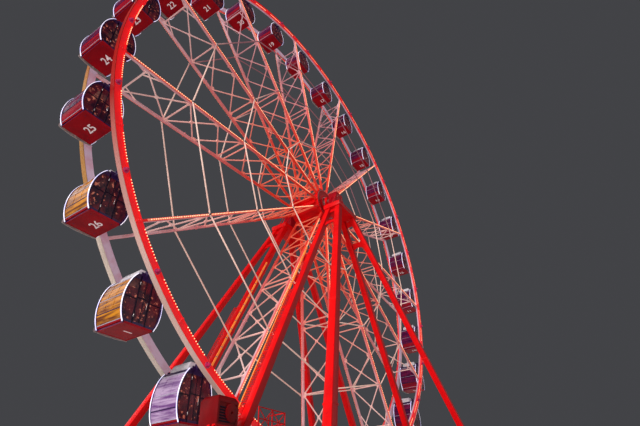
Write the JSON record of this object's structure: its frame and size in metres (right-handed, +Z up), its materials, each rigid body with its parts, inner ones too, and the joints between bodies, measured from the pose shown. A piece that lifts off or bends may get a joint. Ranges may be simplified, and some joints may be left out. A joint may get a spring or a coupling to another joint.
{
  "type": "ferris wheel",
  "caption": "Giant observation wheel with closed glazed cabins between two lit ring beams, flat braced spokes, tie rings and splayed box legs.",
  "frame": {"origin": "on the ground under the hub, midway between the two sides", "axes": "+X to the right seen from the front, +Y away from the front along the wheel's axle, +Z up"},
  "size_m": [34.6574, 16, 37.4914],
  "materials": {
    "cabin_panels": "gloss maroon paint",
    "red_steel": "satin red paint",
    "bare_steel": "greased bare steel",
    "grey_steel": "grey paint"
  },
  "bodies": {
    "stand": {"axle": "bare_steel", "near_head": "red_steel", "far_head": "red_steel", "near_left_legs": "red_steel", "near_right_legs": "red_steel", "far_left_legs": "red_steel", "far_right_legs": "red_steel", "left_base_beam": "grey_steel", "right_base_beam": "grey_steel", "boarding_platform": "grey_steel", "left_landing": "red_steel", "right_landing": "red_steel"},
    "wheel": {"near_rim": "red_steel", "far_rim": "red_steel", "hub_drum": "red_steel", "spoke_01": "red_steel", "spoke_02": "red_steel", "spoke_03": "red_steel", "spoke_04": "red_steel", "spoke_05": "red_steel", "spoke_06": "red_steel", "spoke_07": "red_steel", "spoke_08": "red_steel", "spoke_09": "red_steel", "spoke_10": "red_steel", "spoke_11": "red_steel", "spoke_12": "red_steel", "spoke_13": "red_steel", "near_outer_tie_ring": "red_steel", "far_outer_tie_ring": "red_steel", "near_middle_tie_ring": "red_steel", "far_middle_tie_ring": "red_steel", "near_inner_tie_ring": "red_steel", "far_inner_tie_ring": "red_steel"},
    "cabin_01_body": {"cabin_01": "cabin_panels"},
    "cabin_02_body": {"cabin_02": "cabin_panels"},
    "cabin_03_body": {"cabin_03": "cabin_panels"},
    "cabin_04_body": {"cabin_04": "cabin_panels"},
    "cabin_05_body": {"cabin_05": "cabin_panels"},
    "cabin_06_body": {"cabin_06": "cabin_panels"},
    "cabin_07_body": {"cabin_07": "cabin_panels"},
    "cabin_08_body": {"cabin_08": "cabin_panels"},
    "cabin_09_body": {"cabin_09": "cabin_panels"},
    "cabin_10_body": {"cabin_10": "cabin_panels"},
    "cabin_11_body": {"cabin_11": "cabin_panels"},
    "cabin_12_body": {"cabin_12": "cabin_panels"},
    "cabin_13_body": {"cabin_13": "cabin_panels"},
    "cabin_14_body": {"cabin_14": "cabin_panels"},
    "cabin_15_body": {"cabin_15": "cabin_panels"},
    "cabin_16_body": {"cabin_16": "cabin_panels"},
    "cabin_17_body": {"cabin_17": "cabin_panels"},
    "cabin_18_body": {"cabin_18": "cabin_panels"},
    "cabin_19_body": {"cabin_19": "cabin_panels"},
    "cabin_20_body": {"cabin_20": "cabin_panels"},
    "cabin_21_body": {"cabin_21": "cabin_panels"},
    "cabin_22_body": {"cabin_22": "cabin_panels"},
    "cabin_23_body": {"cabin_23": "cabin_panels"},
    "cabin_24_body": {"cabin_24": "cabin_panels"},
    "cabin_25_body": {"cabin_25": "cabin_panels"},
    "cabin_26_body": {"cabin_26": "cabin_panels"}
  },
  "joints": [
    {"name": "wheel_spin", "type": "hinge", "parent": "stand", "child": "wheel", "pos_m": [0, 0, 20.8], "axis": [0, 1, 0], "continuous": true},
    {"name": "cabin_01_swing", "type": "hinge", "parent": "wheel", "child": "cabin_01_body", "pos_m": [-12.4874, 0, 10.015], "axis": [0, 1, 0], "continuous": true},
    {"name": "cabin_02_swing", "type": "hinge", "parent": "wheel", "child": "cabin_02_body", "pos_m": [-9.5435, 0, 7.34], "axis": [0, 1, 0], "continuous": true},
    {"name": "cabin_03_swing", "type": "hinge", "parent": "wheel", "child": "cabin_03_body", "pos_m": [-6.045, 0, 5.4472], "axis": [0, 1, 0], "continuous": true},
    {"name": "cabin_04_swing", "type": "hinge", "parent": "wheel", "child": "cabin_04_body", "pos_m": [-2.1952, 0, 4.4467], "axis": [0, 1, 0], "continuous": true},
    {"name": "cabin_05_swing", "type": "hinge", "parent": "wheel", "child": "cabin_05_body", "pos_m": [1.7822, 0, 4.3965], "axis": [0, 1, 0], "continuous": true},
    {"name": "cabin_06_swing", "type": "hinge", "parent": "wheel", "child": "cabin_06_body", "pos_m": [5.656, 0, 5.2997], "axis": [0, 1, 0], "continuous": true},
    {"name": "cabin_07_swing", "type": "hinge", "parent": "wheel", "child": "cabin_07_body", "pos_m": [9.2011, 0, 7.1037], "axis": [0, 1, 0], "continuous": true},
    {"name": "cabin_08_swing", "type": "hinge", "parent": "wheel", "child": "cabin_08_body", "pos_m": [12.2115, 0, 9.7037], "axis": [0, 1, 0], "continuous": true},
    {"name": "cabin_09_swing", "type": "hinge", "parent": "wheel", "child": "cabin_09_body", "pos_m": [14.5122, 0, 12.9485], "axis": [0, 1, 0], "continuous": true},
    {"name": "cabin_10_swing", "type": "hinge", "parent": "wheel", "child": "cabin_10_body", "pos_m": [15.9695, 0, 16.6496], "axis": [0, 1, 0], "continuous": true},
    {"name": "cabin_11_swing", "type": "hinge", "parent": "wheel", "child": "cabin_11_body", "pos_m": [16.4987, 0, 20.592], "axis": [0, 1, 0], "continuous": true},
    {"name": "cabin_12_swing", "type": "hinge", "parent": "wheel", "child": "cabin_12_body", "pos_m": [16.069, 0, 24.5464], "axis": [0, 1, 0], "continuous": true},
    {"name": "cabin_13_swing", "type": "hinge", "parent": "wheel", "child": "cabin_13_body", "pos_m": [14.7055, 0, 28.2831], "axis": [0, 1, 0], "continuous": true},
    {"name": "cabin_14_swing", "type": "hinge", "parent": "wheel", "child": "cabin_14_body", "pos_m": [12.4874, 0, 31.585], "axis": [0, 1, 0], "continuous": true},
    {"name": "cabin_15_swing", "type": "hinge", "parent": "wheel", "child": "cabin_15_body", "pos_m": [9.5435, 0, 34.26], "axis": [0, 1, 0], "continuous": true},
    {"name": "cabin_16_swing", "type": "hinge", "parent": "wheel", "child": "cabin_16_body", "pos_m": [6.045, 0, 36.1528], "axis": [0, 1, 0], "continuous": true},
    {"name": "cabin_17_swing", "type": "hinge", "parent": "wheel", "child": "cabin_17_body", "pos_m": [2.1952, 0, 37.1533], "axis": [0, 1, 0], "continuous": true},
    {"name": "cabin_18_swing", "type": "hinge", "parent": "wheel", "child": "cabin_18_body", "pos_m": [-1.7822, 0, 37.2035], "axis": [0, 1, 0], "continuous": true},
    {"name": "cabin_19_swing", "type": "hinge", "parent": "wheel", "child": "cabin_19_body", "pos_m": [-5.656, 0, 36.3003], "axis": [0, 1, 0], "continuous": true},
    {"name": "cabin_20_swing", "type": "hinge", "parent": "wheel", "child": "cabin_20_body", "pos_m": [-9.2011, 0, 34.4963], "axis": [0, 1, 0], "continuous": true},
    {"name": "cabin_21_swing", "type": "hinge", "parent": "wheel", "child": "cabin_21_body", "pos_m": [-12.2115, 0, 31.8963], "axis": [0, 1, 0], "continuous": true},
    {"name": "cabin_22_swing", "type": "hinge", "parent": "wheel", "child": "cabin_22_body", "pos_m": [-14.5122, 0, 28.6515], "axis": [0, 1, 0], "continuous": true},
    {"name": "cabin_23_swing", "type": "hinge", "parent": "wheel", "child": "cabin_23_body", "pos_m": [-15.9695, 0, 24.9504], "axis": [0, 1, 0], "continuous": true},
    {"name": "cabin_24_swing", "type": "hinge", "parent": "wheel", "child": "cabin_24_body", "pos_m": [-16.4987, 0, 21.008], "axis": [0, 1, 0], "continuous": true},
    {"name": "cabin_25_swing", "type": "hinge", "parent": "wheel", "child": "cabin_25_body", "pos_m": [-16.069, 0, 17.0536], "axis": [0, 1, 0], "continuous": true},
    {"name": "cabin_26_swing", "type": "hinge", "parent": "wheel", "child": "cabin_26_body", "pos_m": [-14.7055, 0, 13.3169], "axis": [0, 1, 0], "continuous": true}
  ],
  "couplings": [
    {"joint": "cabin_01_swing", "follows": "wheel_spin", "ratio": -1},
    {"joint": "cabin_02_swing", "follows": "wheel_spin", "ratio": -1},
    {"joint": "cabin_03_swing", "follows": "wheel_spin", "ratio": -1},
    {"joint": "cabin_04_swing", "follows": "wheel_spin", "ratio": -1},
    {"joint": "cabin_05_swing", "follows": "wheel_spin", "ratio": -1},
    {"joint": "cabin_06_swing", "follows": "wheel_spin", "ratio": -1},
    {"joint": "cabin_07_swing", "follows": "wheel_spin", "ratio": -1},
    {"joint": "cabin_08_swing", "follows": "wheel_spin", "ratio": -1},
    {"joint": "cabin_09_swing", "follows": "wheel_spin", "ratio": -1},
    {"joint": "cabin_10_swing", "follows": "wheel_spin", "ratio": -1},
    {"joint": "cabin_11_swing", "follows": "wheel_spin", "ratio": -1},
    {"joint": "cabin_12_swing", "follows": "wheel_spin", "ratio": -1},
    {"joint": "cabin_13_swing", "follows": "wheel_spin", "ratio": -1},
    {"joint": "cabin_14_swing", "follows": "wheel_spin", "ratio": -1},
    {"joint": "cabin_15_swing", "follows": "wheel_spin", "ratio": -1},
    {"joint": "cabin_16_swing", "follows": "wheel_spin", "ratio": -1},
    {"joint": "cabin_17_swing", "follows": "wheel_spin", "ratio": -1},
    {"joint": "cabin_18_swing", "follows": "wheel_spin", "ratio": -1},
    {"joint": "cabin_19_swing", "follows": "wheel_spin", "ratio": -1},
    {"joint": "cabin_20_swing", "follows": "wheel_spin", "ratio": -1},
    {"joint": "cabin_21_swing", "follows": "wheel_spin", "ratio": -1},
    {"joint": "cabin_22_swing", "follows": "wheel_spin", "ratio": -1},
    {"joint": "cabin_23_swing", "follows": "wheel_spin", "ratio": -1},
    {"joint": "cabin_24_swing", "follows": "wheel_spin", "ratio": -1},
    {"joint": "cabin_25_swing", "follows": "wheel_spin", "ratio": -1},
    {"joint": "cabin_26_swing", "follows": "wheel_spin", "ratio": -1}
  ]
}
